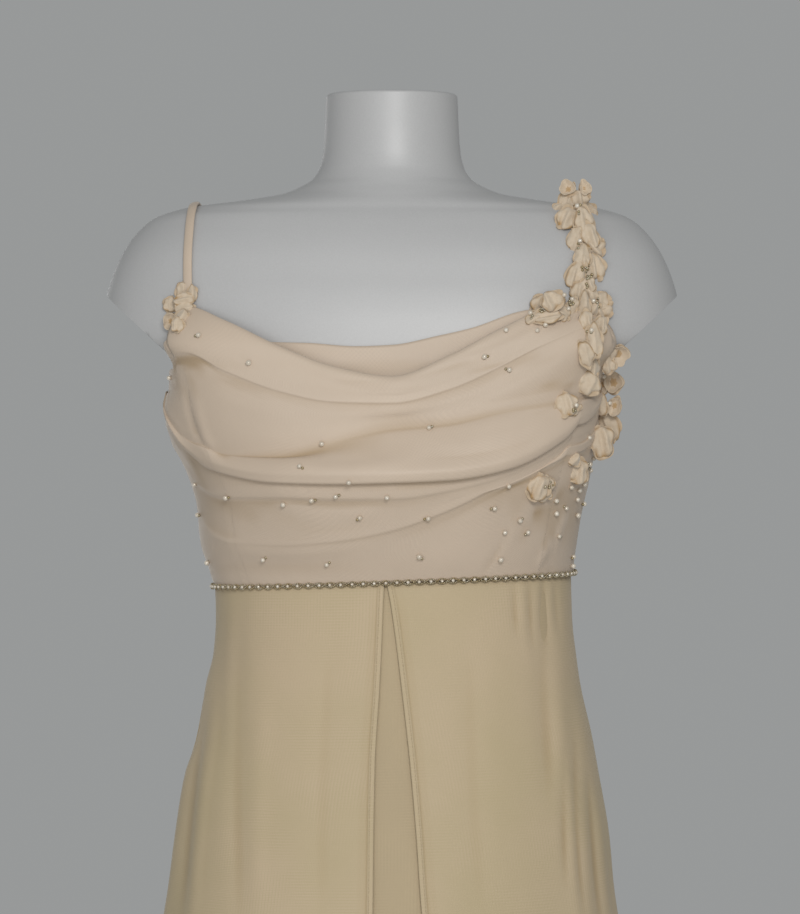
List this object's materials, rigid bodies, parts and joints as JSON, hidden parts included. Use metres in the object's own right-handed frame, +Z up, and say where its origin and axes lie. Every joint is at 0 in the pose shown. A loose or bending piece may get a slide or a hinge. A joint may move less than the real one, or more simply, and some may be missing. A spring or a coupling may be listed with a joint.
{
  "type": "evening gown on dress form",
  "caption": "Floor-length ivory chiffon gown with a cowl-draped bodice, one plain and one flowered strap, pearl beads and a split overskirt, on a limbless dress form with a stand.",
  "frame": {"origin": "centre of the stand's flat underside, on the floor", "axes": "+Z up, -Y towards the front of the gown, +X to the viewer's right when looking at the front"},
  "size_m": [0.6462, 0.5626, 1.5012],
  "materials": {
    "bodice_crepe": "soft matt crepe chiffon, warm ivory",
    "skirt_chiffon": "sheer matt chiffon, warm cream",
    "skirt_lining": "smooth satin-back lining layer, cream",
    "petal_chiffon": "crisp chiffon petals, ivory with ochre creases",
    "bead_metal": "dull old-gold and silver seed beads with small pearls",
    "form_shell": "pearl silver-white satin gloss plastic",
    "stand_metal": "brushed steel"
  },
  "bodies": {
    "root": {"form_torso": "form_shell", "form_collar": "stand_metal", "form_pole": "stand_metal", "form_base": "stand_metal", "bodice_front": "bodice_crepe", "neck_facing": "bodice_crepe", "bodice_back_left": "bodice_crepe", "bodice_back_right": "bodice_crepe", "strap_plain": "bodice_crepe", "strap_floral": "petal_chiffon", "bead_trim": "bead_metal", "skirt_front_left": "skirt_chiffon", "skirt_front_right": "skirt_chiffon", "skirt_back_left": "skirt_chiffon", "skirt_back_right": "skirt_chiffon", "underskirt_front": "skirt_lining", "underskirt_back": "skirt_lining", "flower_shoulder": "petal_chiffon", "flower_upper": "petal_chiffon", "flower_middle": "petal_chiffon", "flower_low": "petal_chiffon", "flower_outer": "petal_chiffon", "petal_left_top": "petal_chiffon", "petal_left_outer": "petal_chiffon", "flower_corner": "petal_chiffon", "petal_foot": "petal_chiffon", "petal_armhole_inner": "petal_chiffon", "petal_armhole_outer": "petal_chiffon", "petal_side_inner": "petal_chiffon", "flower_side": "petal_chiffon", "petal_front": "petal_chiffon", "petal_side_long": "petal_chiffon", "petal_side_low": "petal_chiffon", "flower_low_side": "petal_chiffon", "flower_low_front": "petal_chiffon", "petal_left_foot": "petal_chiffon"}
  },
  "joints": []
}
